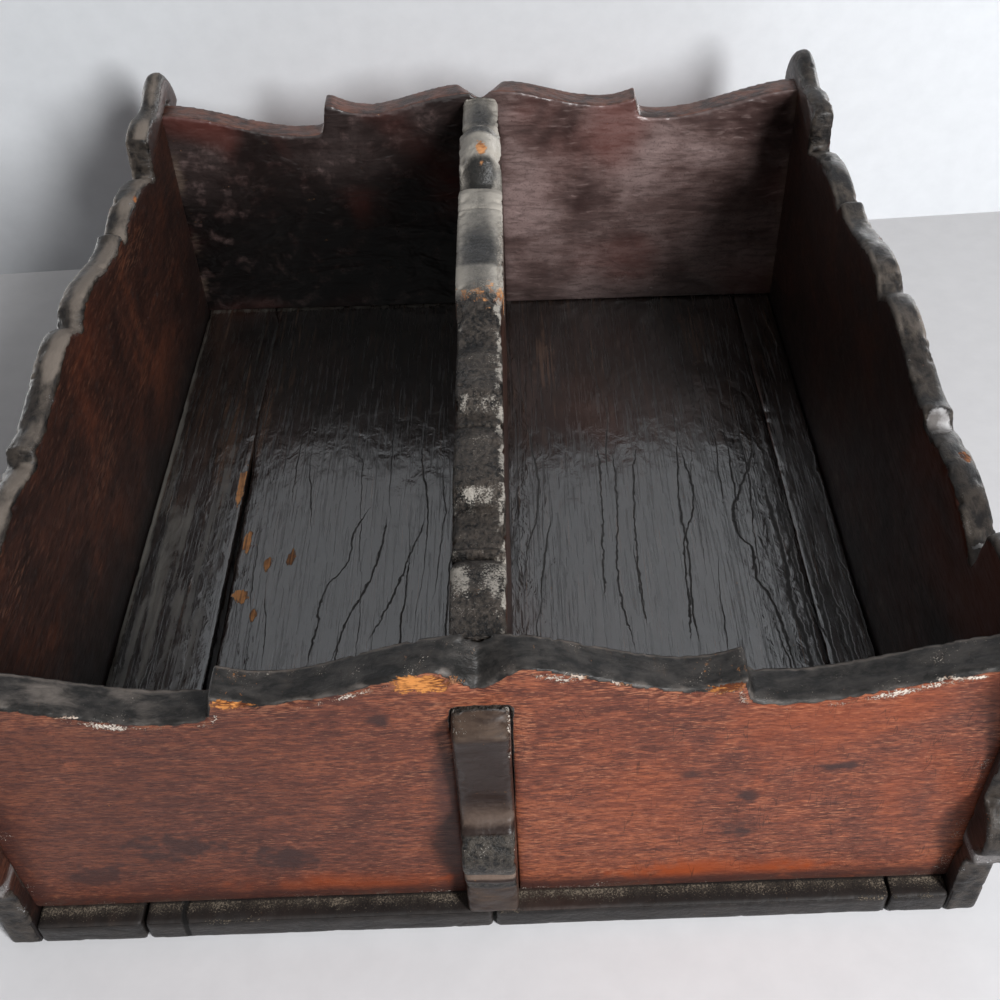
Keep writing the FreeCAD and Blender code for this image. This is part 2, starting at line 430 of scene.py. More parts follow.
def laneCracks(tree, space, parts, ragged, look):
    # shrinkage cracks that sway along the boards, each one coming and going along its run
    across, along = parts.outputs[0], parts.outputs[1]
    sway = grainNoise(tree, space, look["swayGrain"], 3.0, 0.5)
    wobble = grainNoise(tree, space, look["wobbleGrain"], 2.0, 0.5)
    lanes = added(tree, maths(tree, "DIVIDE", across, look["apart"] * mm), sway, look["sway"])
    lanes = added(tree, lanes, wobble, look["wobble"])
    lanes = added(tree, lanes, ragged, look["rag"])
    lane = maths(tree, "FLOOR", lanes)
    off = maths(tree, "ABSOLUTE", centred(tree, maths(tree, "FRACT", lanes)))
    spot = put(tree, "ShaderNodeCombineXYZ", {0: times(tree, lane, look["laneStep"]), 1: along}).outputs[0]
    there = grainNoise(tree, spot, (1.0, look["run"], 1.0), 2.0, 0.5)
    crowded = between(tree, across, *[x * mm for x in look["crowdX"]])
    there = added(tree, there, crowded, look["crowd"])
    fade = added(tree, 1.0, between(tree, along, *[y * mm for y in look["fadeY"]]), -look["fade"])
    shown = between(tree, there, look["from"], look["from"] + look["ease"])
    return lineAt(tree, off, times(tree, shown, fade, look["width"]), 0.001)


def crackLines(tree, space, look):
    parts = put(tree, "ShaderNodeSeparateXYZ", {0: space})
    ragged = grainNoise(tree, space, routedCracks["ragGrain"], 3.0, 0.6)
    line = laneCracks(tree, space, parts, ragged, look["lanes"]) if "lanes" in look else 0.0
    for route, width in look["routes"]:
        line = maths(tree, "MAXIMUM", line, routedCrack(tree, parts, ragged, route, width))
    return maths(tree, "MULTIPLY", line, routedCracks["strength"], clamp=True)


def woodFinish(name, look):
    material, tree, shader, space = newFinish(name)
    fine = fineNoises(tree, space, look)

    # colour, from the wood outwards
    pores = times(tree, between(tree, fine["dashes"], *woodMarks["pores"]), look["pores"])
    wood = woodTone(tree, look, fine, pores)
    if look.get("craze"):
        wood = crazed(tree, space, wood, look["craze"])
    painted, worn = paintTone(tree, look, fine)
    paint = broken(tree, layerOf(tree, "paint"), fine["speckle"], *woodMarks["paintEdge"])
    colour = blendColour(tree, paint, wood, painted)
    raw, bare = bareWood(tree, look, fine)
    colour = blendColour(tree, bare, colour, raw)
    streaky = mixed(tree, fine["dashes"], fine["smudge"], woodMarks["filmMix"])
    film = broken(tree, layerOf(tree, "film"), streaky, *woodMarks["filmEdge"])
    colour = tinted(tree, times(tree, film, woodMarks["filmShare"]), colour, look["filmTone"])
    pale, dust = dustGrains(tree, look, fine)
    colour = blendColour(tree, times(tree, dust, look["dustShare"]), colour, pale)

    # gloss: varnish and paint shine, and whatever lies on them or is worn is matt
    gloss = blendValue(tree, paint, look["woodRough"], look["paintRough"])
    gloss = stirred(tree, gloss, fine["smudge"], look["roughSpread"])
    matt = highest(tree, bare, dust, film, times(tree, worn, woodMarks["wornMatt"]),
                   times(tree, pores, look["poreMatt"]))
    gloss = blendValue(tree, matt, gloss, woodMarks["mattRough"])

    # relief
    height = added(tree, times(tree, fine["lumps"], look["lumpHeight"]), fine["grain"], look["grainHeight"])
    height = added(tree, height, pores, -look["poreDepth"])
    height = added(tree, height, dust, woodMarks["dustHeight"])
    height = added(tree, height, bare, woodMarks["bareHeight"])
    relief = added(tree, look["paintHeight"], layerOf(tree, "rough"), look["roughHeight"])
    height = added(tree, height, times(tree, paint, fine["brushed"]), relief)

    if look.get("cracks"):
        cracks = look["cracks"]
        line = crackLines(tree, space, cracks)
        colour = tinted(tree, times(tree, line, cracks["darken"]), colour, woodMarks["crackTone"])
        height = added(tree, height, line, -cracks["depth"])
        gloss = blendValue(tree, line, gloss, 1.0)
    tree.links.new(colour, shader.inputs["Base Color"])
    tree.links.new(maths(tree, "MAXIMUM", gloss, woodMarks["leastRough"]), shader.inputs["Roughness"])
    bumpTo(tree, shader, height)
    shader.inputs["IOR"].default_value = look["ior"]
    return material


# Stage: pale table, pale backdrop, soft light

studio = {"tableTone": (224, 224, 227), "backTone": (218, 221, 225), "backY": 157.0, "backTurn": 3.4,
          "planeSize": 6.0, "paperGrain": 120.0, "paperRough": 0.9,
          "lamps": {"key": {"from": (0.522, -0.68, 0.515), "away": 1.1, "wide": 0.2, "tall": 0.56,
                            "watts": 15.0},
                    "top": {"from": (-0.1, 0.15, 1.0), "away": 1.2, "wide": 1.2, "tall": 1.2, "watts": 1.2},
                    "leftFill": {"from": (-0.86, 0.5, 0.045), "away": 1.0, "wide": 0.6, "tall": 0.06,
                                 "watts": 4.0},
                    "backFill": {"from": (0.6, 0.8, 0.045), "away": 1.0, "wide": 0.6, "tall": 0.06,
                                 "watts": 4.0}},
          "worldLight": 0.09, "worldSeen": 0.86}


def addPlane(name, turn, place, tone):
    bpy.ops.object.select_all(action="DESELECT")
    bpy.ops.mesh.primitive_plane_add(size=studio["planeSize"])
    plane = bpy.context.active_object
    plane.name = name
    plane.matrix_world = Matrix.Translation(place) @ turn
    material, tree, shader, space = newFinish(name + "Paper")
    paper = evenNoise(tree, space, studio["paperGrain"], 3.0, 0.6)
    pale = colourRamp(tree, paper, (0.3, 0.7), ([c - 3 for c in tone], [c + 2 for c in tone]))
    tree.links.new(pale, shader.inputs["Base Color"])
    shader.inputs["Roughness"].default_value = studio["paperRough"]
    plane.data.materials.append(material)
    return plane


def openFromBehind(plane):
    # the backdrop's back is clear and casts nothing, so that the box can be seen and lit from behind
    tree = plane.data.materials[0].node_tree
    end = next(made for made in tree.nodes if made.type == "OUTPUT_MATERIAL")
    behind = put(tree, "ShaderNodeNewGeometry").outputs["Backfacing"]
    clear = put(tree, "ShaderNodeBsdfTransparent").outputs[0]
    both = put(tree, "ShaderNodeMixShader", {0: behind, 1: end.inputs[0].links[0].from_socket, 2: clear})
    tree.links.new(both.outputs[0], end.inputs[0])
    plane.visible_shadow = False
    plane.visible_diffuse = False


def addLamp(name, look):
    data = bpy.data.lights.new(name, "AREA")
    data.shape = "RECTANGLE"
    data.size = look["wide"]
    data.size_y = look["tall"]
    data.energy = look["watts"]
    lamp = bpy.data.objects.new(name, data)
    way = Vector(look["from"]).normalized()
    turn = way.to_track_quat("Z", "Y").to_matrix().to_4x4()
    lamp.matrix_world = Matrix.Translation(way * look["away"]) @ turn
    lamp.visible_camera = False
    scene.collection.objects.link(lamp)


def addWorld(look):
    world = bpy.data.worlds.new("studio")
    scene.world = world
    world.use_nodes = True
    tree = world.node_tree
    tree.nodes.clear()
    path = put(tree, "ShaderNodeLightPath")
    seen = highest(tree, path.outputs["Is Camera Ray"], path.outputs["Is Glossy Ray"],
                   path.outputs["Is Transmission Ray"])
    strength = blendValue(tree, seen, look["worldLight"], look["worldSeen"])
    sky = put(tree, "ShaderNodeBackground", {"Color": (1, 1, 1, 1), "Strength": strength})
    end = put(tree, "ShaderNodeOutputWorld")
    tree.links.new(sky.outputs[0], end.inputs[0])


addPlane("table", Matrix.Identity(4), Vector((0, 0, 0)), studio["tableTone"])
upright = Matrix.Rotation(math.radians(90), 4, "X")
upright = Matrix.Rotation(math.radians(studio["backTurn"]), 4, "Z") @ upright
openFromBehind(addPlane("backdrop", upright, Vector((0, studio["backY"] * mm, 0)), studio["backTone"]))
for lampName, lampLook in studio["lamps"].items():
    addLamp(lampName, lampLook)
addWorld(studio)
print("stage and light set")


# Boards: shared shaping

# places from the frame, in millimetres out from the middle: the walls' two faces and the tray's inner sides
wallPlaces = np.abs(pointsOf(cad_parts["front_wall"])[:, 1])
insideY, wallFace = wallPlaces.min(), wallPlaces.max()
insideX = np.abs(pointsOf(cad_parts["side_board_right"])[:, 0]).min()

rimStep = 0.8  # width of the steps in which a rim's height is read
crownCurve = 2.4  # how late a crowned rim turns down towards its arrises
boardWear = {"arris": (0.4, 0.9), "edge": (0.45, 0.85), "waveSize": 30, "chipSize": 5, "crumbSize": 1.8,
             "crumbShare": 0.6, "chipped": (0.15, 0.9)}
paintRun = {"runs": 7, "runShare": 0.7, "drips": 2, "dripShare": 0.5, "even": 0.55, "fade": 0.5}


def rimOf(points, along):
    # height of the rim along a board
    low = points[:, along].min()
    steps = ((points[:, along] - low) / rimStep).astype(int)
    tops = np.full(steps.max() + 1, -1.0)
    np.maximum.at(tops, steps, points[:, 2])
    return np.interp(points[:, along], low + rimStep * (np.arange(len(tops)) + 0.5), tops)


def liftRim(piece, along, lifts, low, high):
    # raises the rim by the given amounts along the board, fading out below
    points = pointsOf(piece)
    points[:, 2] += follow(points[:, along], lifts) * soft(points[:, 2], low, high)
    setPoints(piece, points)


def crownRim(piece, middle, half, drops):
    # rounds the rim over the board's thickness, by a drop at its arrises given along Y
    points = pointsOf(piece)
    deep = rimOf(points, 1) - points[:, 2]
    aside = np.clip(np.abs(points[:, 0] - middle) / half, 0, 1)
    drop = follow(points[:, 1], drops)
    points[:, 2] -= drop * aside ** crownCurve * (1 - soft(deep, 0.6 * drop, 3 * drop + 1))
    setPoints(piece, points)


def wearBoard(piece, thin, wear):
    # waves, cuts and chips; thin is the axis through the board's thickness
    points, normals = pointsOf(piece), normalsOf(piece)
    seed = wear["seed"]
    facing = np.abs(normals[:, thin])
    low, high = boardWear["arris"]
    arris = (facing > low) & (facing < high) & (points[:, 2] > wear["from"])
    gap = nearest(points, points[arris])
    edge = 1 - soft(facing, *boardWear["edge"])
    wave = noiseAt(points, boardWear["waveSize"], seed) * wear["wave"]
    cuts = noiseAt(points, wear["cutSize"], seed + 2) * wear["cut"] * edge
    chips = noiseAt(points, boardWear["chipSize"], seed + 4)
    chips += boardWear["crumbShare"] * noiseAt(points, boardWear["crumbSize"], seed + 5)
    chips = soft(chips, *boardWear["chipped"]) * near(gap, wear["chipReach"]) * wear["chip"]
    points = points + normals * (wave + cuts - chips)[:, None]
    setPoints(piece, points)
    return points, normals, edge, gap


def rimPaint(points, edge, gap, seed, spread):
    # black paint on the edges, run a little way onto the faces
    run = noiseAt(points, paintRun["runs"], seed) * paintRun["runShare"]
    run += noiseAt(points, paintRun["drips"], seed + 1) * paintRun["dripShare"]
    fade = paintRun["fade"]
    return np.maximum(edge, soft(spread * (paintRun["even"] + run) - gap, -fade, fade))


def dress(piece, nodeName, slotName, *materials):
    for material in materials:
        piece.data.materials.append(material)
    selectOnly(piece)
    bpy.ops.object.shade_smooth()
    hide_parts(nodeName)
    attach(piece, "root")
    print(piece.name, len(piece.data.polygons), "faces")


# Front wall

wallLook = {"grain": (170.0, 80.0, 900.0), "dashes": (560.0, 240.0, 2900.0),
            "cloud": 30.0, "cloudShare": 0.34,
            "dark": (84, 45, 35), "mid": (111, 60, 44), "light": (144, 81, 55), "mottle": 0.5,
            "pores": 0.62, "pore": (46, 23, 18), "poreDepth": 0.03, "poreMatt": 0.2,
            "flash": (180, 120, 88), "flashShare": 0.6,
            "grimeTone": (52, 33, 31), "glowTone": (134, 58, 22), "craze": 0.5,
            "paintDark": (24, 23, 22), "paintLight": (58, 55, 53), "paintGrain": (170.0, 420.0, 420.0),
            "paintHeight": 0.35, "roughHeight": 0.0,
            "wornTone": (106, 99, 94), "wornBreak": 0.9, "wornEdge": 0.3,
            "bareDark": (84, 42, 20), "bareLight": (202, 134, 72), "filmTone": (112, 94, 80),
            "dustTone": (220, 210, 198), "dustDark": (152, 108, 78), "dustShare": 0.9, "clump": 1.1,
            "woodRough": 0.48, "paintRough": 0.4, "roughSpread": 0.3, "ior": 1.32,
            "lumps": (90.0, 90.0, 160.0), "lumpHeight": 0.15, "grainHeight": 0.05}

# stains, spots and glows are (across, up, half width, half height) in millimetres
frontWall = {"node": "front_wall", "voxel": 0.7, "rounding": 6,
             "rimFrom": 55, "paintFrom": 40, "paintSpread": 0.7,
             "wear": {"from": 60, "seed": 1.0, "wave": 0.16, "cut": 0.18, "cutSize": (14, 4, 14),
                      "chip": 0.7, "chipReach": 1.3},
             "stains": [(51.4, 29.3, 3.6, 3), (53.1, 42.6, 2.4, 2.8), (40.4, 50.7, 2.4, 1.5),
                        (70, 52, 5, 1.5), (-66, 30, 12, 7), (-84, 20, 9, 6), (-44, 24, 10, 6),
                        (-18.6, 72.6, 3, 2.6)],
             "bareSpots": [(-44.6, 80.2, 5, 3.6), (-10.6, 83.2, 6, 3), (44.5, 80.5, 5, 3.4)],
             "whiteSpots": [(-36, 80.6, 3, 1.0), (-31, 81.4, 3, 0.8), (-3.5, 84.0, 3.4, 1.8),
                            (20, 83.6, 5, 1.2), (27.5, 81.4, 4, 1.4), (47.6, 82, 1.2, 3),
                            (58, 74.6, 7, 0.8), (83, 79.5, 14, 0.45), (-78, 76.4, 16, 0.35),
                            (-55, 75.0, 8, 0.4)],
             "glows": [(50, 13, 24, 6), (-36, 13, 30, 6)]}


def makeFrontWall():
    spec = frontWall
    piece = boardCopy(spec["node"], "frontWall", spec["voxel"], spec["rounding"])
    points, normals, edge, gap = wearBoard(piece, 1, spec["wear"])
    x, z = points[:, 0], points[:, 2]

    # where on the board a point lies
    outside = soft(-normals[:, 1], 0.2, 0.7)
    plain = outside * (1 - edge)
    inner = soft(normals[:, 1], -0.2, 0.5) * edge
    upper = z > spec["rimFrom"]
    corners = soft(np.abs(x) - insideX, -5, -0.5) * plain
    foot = soft(11.5 - z, 0, 5) * plain
    low = soft(25 - z, 0, 13) * soft(z, 9.5, 13.5)
    # painted shadow that the bracket casts on the wall beside it
    bracketShadow = band(-x, (4, 6), (8, 14)) * (1 - soft(z, 56, 66)) * plain

    # rubbing and crust below the rim, wear on the rim
    tufts = soft(noiseAt(points, (5, 5, 2.5), 14) + 0.4, 0, 0.9)
    strip = soft(5 - gap + 3 * noiseAt(points, (9, 9, 5), 31), 0, 5) * plain * upper
    flecks = soft(noiseAt(points, (16, 16, 6), 33), 0, 0.8) * plain
    crust = near(gap - 1.4, 1.0) * plain * upper * (np.abs(x) > 9) * soft(noiseAt(points, 9, 37), -0.5, 0.5)
    leftRim = soft(-x, 45, 75) * edge * (0.3 + 0.7 * tufts)
    white = patches(points, fromFront, spec["whiteSpots"], 41) * outside

    # stains and warm stretches of the varnish, with painted shade over the left, in the left corner and along
    # the foot, and painted light over the right
    stains = patches(points, fromFront, spec["stains"], 51)
    leftShade = soft(-x, -30, 80) * plain
    cornerShade = soft(-x - insideX, -12, -1) * plain
    footShade = soft(14.5 - z, 0, 5) * plain
    footFilm = foot * soft(noiseAt(points, 20, 35), -0.4, 0.4)
    lowGlow = low * (0.05 + 0.95 * patches(points, fromFront, spec["glows"], 55))
    rightPaintedLight = soft(x, 0, 60) * soft(z, 20, 40)

    store(piece,
          paint=rimPaint(points, edge, gap, 11, spec["paintSpread"]) * (z > spec["paintFrom"]),
          # the pale inner arris of the rim is partly wear and partly a painted highlight
          worn=most(0.5 * tufts * near(gap, 1.2), 0.95 * inner * near(gap, 1.6), 0.62 * leftRim),
          bare=0.85 * patches(points, fromFront, spec["bareSpots"], 21) * np.maximum(outside, 0.2),
          rubbed=most(0.6 * strip, 0.3 * flecks),
          dust=most(0.5 * crust, 0.66 * white, 0.2 * corners, 0.24 * foot) + 0.1 * edge,
          film=0.4 * most(footFilm, inner * tufts),
          grime=most(0.95 * stains, 0.6 * leftShade, 0.8 * bracketShadow, 0.85 * cornerShade,
                     0.85 * footShade),
          glow=most(lowGlow, 0.42 * rightPaintedLight) * plain,
          crazed=(0.35 + 0.65 * soft(x, -20, 40)) * plain)
    dress(piece, spec["node"], "wall_wood", wallVarnish)


wallVarnish = woodFinish("wallVarnish", wallLook)
makeFrontWall()

# Back wall: greyed inside, partly by dust and partly as a painted sheen, with a near-black tone for its
# painted shade; varnished as the front wall is outside

backLook = dict(wallLook, cloudShare=0.6, dark=(62, 46, 44), mid=(100, 81, 78), light=(136, 116, 113),
                pore=(44, 31, 29), pores=0.4, poreDepth=0.02, flash=(158, 138, 134), flashShare=0.3,
                grain=(40.0, 60.0, 160.0), dashes=(160.0, 120.0, 700.0),
                woodRough=0.32, lumps=(60.0, 60.0, 110.0), lumpHeight=1.7, grainHeight=0.1, ior=1.5,
                paintDark=(46, 28, 23), paintLight=(104, 68, 56), glowTone=(104, 52, 44),
                grimeTone=(12, 9, 9), craze=0)
backWall = {"node": "back_wall", "voxel": 0.7, "rounding": 6, "paintFrom": 40, "liftFrom": (45, 70),
            "wear": {"from": 60, "seed": 2.0, "wave": 0.2, "cut": 0.15, "cutSize": (14, 4, 14),
                     "chip": 0.3, "chipReach": 1.2},
            "lifts": [(-100, 0), (-60, 0.3), (-51, 0.3), (-49.5, 3.4), (-47, 4), (-34, 1.8), (-9, 0),
                      (9, 0.8), (34, 3), (100, 3)]}


def makeBackWall():
    spec = backWall
    piece = boardCopy(spec["node"], "backWall", spec["voxel"], spec["rounding"])
    liftRim(piece, 0, spec["lifts"], *spec["liftFrom"])
    points, normals, edge, _ = wearBoard(piece, 1, spec["wear"])
    x, z = points[:, 0], points[:, 2]
    face = soft(-normals[:, 1], 0.2, 0.7)
    # painted shadow of the divider over the left of the inside face; the grime layer also darkens towards the
    # bottom
    leftShade = soft(10 - x, 0, 14) * (0.84 + 0.16 * soft(70 - z, 0, 30)) * face
    corners = soft(np.abs(x) - insideX, -4, -0.2) * face
    store(piece,
          paint=edge * (z > spec["paintFrom"]),
          film=0.5 * corners * soft(noiseAt(points, (30, 30, 12), 17), -0.5, 0.3),
          grime=most(0.5 * soft(20 - z, 0, 16), np.where(face > 0, leftShade, 0.4)),
          glow=0.5 * soft(noiseAt(points, 26, 15), 0.0, 0.6),
          crazed=0.5 * (1 - face))
    for polygon in piece.data.polygons:
        polygon.material_index = int(polygon.normal.y > 0.3)
    dress(piece, spec["node"], "wall_wood", woodFinish("backVarnish", backLook), wallVarnish)


makeBackWall()

# Side boards

sideLook = dict(wallLook, cloudShare=0.6, grain=(60.0, 50.0, 380.0), dashes=(180.0, 240.0, 1500.0),
                dark=(34, 21, 18), mid=(52, 31, 25), light=(76, 43, 31), pore=(24, 16, 14),
                flash=(104, 70, 54), flashShare=0.5, grimeTone=(15, 11, 11), glowTone=(88, 42, 27),
                woodRough=0.42, lumps=(90.0, 60.0, 140.0), lumpHeight=0.35, craze=0,
                paintDark=(16, 13, 12), paintLight=(56, 50, 45), paintGrain=(420.0, 210.0, 420.0),
                paintHeight=0.3, wornTone=(116, 107, 99), wornBreak=0.6, filmTone=(150, 146, 146),
                dustTone=(186, 185, 186), dustDark=(112, 108, 106),
                bareDark=(66, 40, 28), bareLight=(156, 98, 58))
sideBoards = {"left": {"node": "side_board_left", "seed": 3.0,
                       "paintedShade": 0.0, "rubbed": 1.0, "outerShade": 0.75,
                       "lifts": [(40, 0), (110, 3.2)],
                       "chips": [],
                       "orange": [(-101.5, 46, 1.2, 2)]},
              "right": {"node": "side_board_right", "seed": 4.0,
                        "paintedShade": 0.55, "rubbed": 0.34, "outerShade": 0.0,
                        "lifts": [(20, 0), (110, 2.0)],
                        "chips": [(103, -47, 3.4, 4.0), (102.5, -81, 2.0, 0.5)],
                        "orange": [(105, -59.5, 1.4, 3)]}}
sideWear = {"voxel": 0.75, "rounding": 4, "from": 9, "wave": 0.2, "cut": 0.4, "cutSize": (4, 6, 6),
            "chip": 0.8, "chipReach": 1.4, "liftFrom": (50, 72), "rimFrom": 70, "paintSpread": 1.2}
finialDrops = [(-127, 3.8), (-106, 3.8), (-98, 0.8), (98, 0.8), (106, 3.8), (127, 3.8)]


def makeSideBoard(side, finish):
    spec = sideBoards[side]
    across = pointsOf(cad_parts[spec["node"]])[:, 0]
    middle, half = (across.max() + across.min()) / 2, (across.max() - across.min()) / 2
    piece = boardCopy(spec["node"], side + "Board", sideWear["voxel"], sideWear["rounding"])
    liftRim(piece, 1, spec["lifts"], *sideWear["liftFrom"])
    crownRim(piece, middle, half, finialDrops)
    points, normals, edge, gap = wearBoard(piece, 0, dict(sideWear, seed=spec["seed"]))
    x, y, z = points.T
    seed = spec["seed"] * 10
    arrises = near(gap, 1.0)
    onRim = z > sideWear["rimFrom"]
    ends = (np.abs(y) > wallFace + 0.3) * band(z, (24, 26), (27, 29))
    outward = (x - middle) * np.sign(middle)
    # upward faces worn paler, partly real wear and partly a painted highlight; on the left board the crown's
    # outward half stays dark as painted shade
    crest = soft(normals[:, 2], 0.35, 0.9) * soft(z, 60, 75)
    crest *= 1 - spec["outerShade"] * soft(outward, -1.2, 1.4)
    handled = soft(noiseAt(points, 11, seed + 7), -0.6, 0.5) * (1 - 0.45 * soft(np.abs(y), 96, 110))
    nicks = soft(noiseAt(points, 6, seed + 2), 0.4, 0.8) * near(gap, 1.2)
    chips = patches(points, fromAbove, spec["chips"], seed + 9, 0.15) * onRim * edge
    orange = patches(points, fromAbove, spec["orange"], seed + 8) * onRim
    # painted shade: the right board darkened all over, and both boards darker towards the floor and the back
    store(piece,
          paint=rimPaint(points, edge, gap, seed, sideWear["paintSpread"]),
          worn=most(spec["rubbed"] * crest * (0.35 + 0.65 * handled), 0.65 * arrises * handled),
          bare=most(0.6 * nicks, 0.8 * orange),
          film=0.5 * ends,
          dust=most(1.1 * chips, 0.3 * ends, 0.16 * arrises),
          rubbed=0.5 * soft(noiseAt(points, (20, 26, 9), seed + 4), 0.1, 0.7) * (1 - edge),
          grime=most(soft(34 - z, 0, 30), 0.6 * soft(y, 40, 100), spec["paintedShade"]),
          glow=0.5 * soft(noiseAt(points, 40, seed + 5), -0.1, 0.6) * soft(z, 20, 60))
    dress(piece, spec["node"], "side_wood", finish)


sideFinish = woodFinish("sideVarnish", sideLook)
makeSideBoard("left", sideFinish)
makeSideBoard("right", sideFinish)

# Divider

dividerLook = dict(sideLook, dark=(30, 22, 19), mid=(50, 33, 27), light=(74, 46, 35), filmTone=(112, 94, 80),
                   paintDark=(8, 6, 5), paintLight=(72, 65, 59), smoothTone=(34, 34, 33),
                   paintGrain=(1200.0, 850.0, 1200.0), paintRough=0.28, paintHeight=0.06, roughHeight=0.6,
                   ior=1.29, lumps=(300.0, 220.0, 300.0), lumpHeight=0.3,
                   wornTone=(180, 174, 165), wornBreak=0.4, wornEdge=0.42, specks=1.7,
                   bareDark=(140, 92, 60), bareLight=(216, 156, 106),
                   dustTone=(206, 198, 188), dustDark=(136, 106, 84))
bracketLook = dict(dividerLook, paintDark=(10, 9, 9), paintLight=(62, 57, 51), smoothTone=(36, 25, 21),
                   paintGrain=(900.0, 900.0, 900.0), paintRough=0.34, roughHeight=0.5,
                   ior=1.32, lumpHeight=0.25,
                   wornTone=(106, 90, 80), glowTone=(92, 50, 42))

# rim, rubbed and crown run along Y: the rim's height, how far it is rubbed, and its drop at the arrises
dividerBoard = {"node": "divider", "voxel": 0.7, "rounding": 3, "rimFrom": 76, "crestFrom": 80, "half": 5.2,
                "paintSpread": 1.4, "fullBack": 0.13, "orange": [(0.4, 70.4, 2.0, 3.4)],
                "wear": {"from": 9, "seed": 5.0, "wave": 0.15, "cut": 0.35, "cutSize": (6, 4, 4),
                         "chip": 1.0, "chipReach": 1.5},
                "rim": [(-107.3, 85.2), (-101.6, 86.2), (-95.6, 86.4), (-89.9, 85.6), (-87.4, 84.2),
                        (-86.2, 82.6), (-85.2, 83.4), (-83.6, 83.6), (-82.4, 82.4), (-77.5, 82.6),
                        (-71.4, 82.0), (-69.6, 81.6), (-66.6, 84.6), (-63.5, 84.9), (-57, 84.6),
                        (-51, 84.2), (-46, 83.2), (-42.6, 82.2), (-40.5, 82.0), (-36.3, 84.8),
                        (-33, 85.0), (-28.5, 84.4), (-24.1, 84.4), (-22.1, 84.6), (-18.7, 83.2),
                        (-16.5, 83.0), (-11.3, 83.6), (-6.4, 85.4), (-3.9, 86.6), (0.6, 87.0),
                        (14.9, 86.4), (32, 84.6), (46.5, 83.6), (53.1, 83.8), (56.4, 83.0), (59.5, 79.5),
                        (62.7, 80.0), (65.5, 84.5), (67.5, 87), (71, 88.4), (77, 89), (83, 88.8), (85.5, 88),
                        (88.5, 85.2), (107.3, 85.2)],
                "rubbed": [(-107, 0.1), (-100, 0.2), (-96, 0.35), (-89, 0.38), (-87.6, 0.1), (-85, 0.3),
                           (-82, 0.15), (-74, 0.15), (-70.5, 0.25), (-69, 0.5), (-67, 0.6), (-66, 0.1),
                           (-60, 0.08), (-46, 0.08), (-41, 0.2), (-39.5, 0.48), (-37, 0.54), (-36, 0.1),
                           (-26, 0.1), (-22, 0.3), (-19, 0.12), (-6, 0.03), (-3, 0.3), (4, 0.5), (12.5, 0.52),
                           (14.5, 0.12), (22, 0.1), (30, 0.25), (38, 0.5), (48, 0.62), (57, 0.75), (59, 0.1),
                           (66.5, 0.05), (69, 0.7), (78, 0.75), (80, 0.2), (84, 0.3), (87, 0.9), (89, 0.4),
                           (93, 0.2), (107, 0.45)],
                "crown": [(-107, 0.5), (-12, 0.6), (-4, 1.5), (6, 1.2), (20, 0.6), (58, 0.6), (64, 2.6),
                          (88, 3.2), (90, 0.6), (107, 0.5)]}


def shapeDivider(piece, spec):
    # inside the tray the rim follows its own hand-cut line, and the back half is left fuller
    points = pointsOf(piece)
    y = points[:, 1]
    inside = np.abs(y) < insideY - 0.2
    points[:, 2] += (follow(y, spec["rim"]) - rimOf(points, 1)) * soft(points[:, 2], 48, 66) * inside
    full = band(y, (-10, 6), (86, 92)) * soft(points[:, 2], 40, 60)
    points[:, 0] *= 1 + spec["fullBack"] * full
    setPoints(piece, points)
    crownRim(piece, 0.0, spec["half"], spec["crown"])
    easeOver(piece, 2)


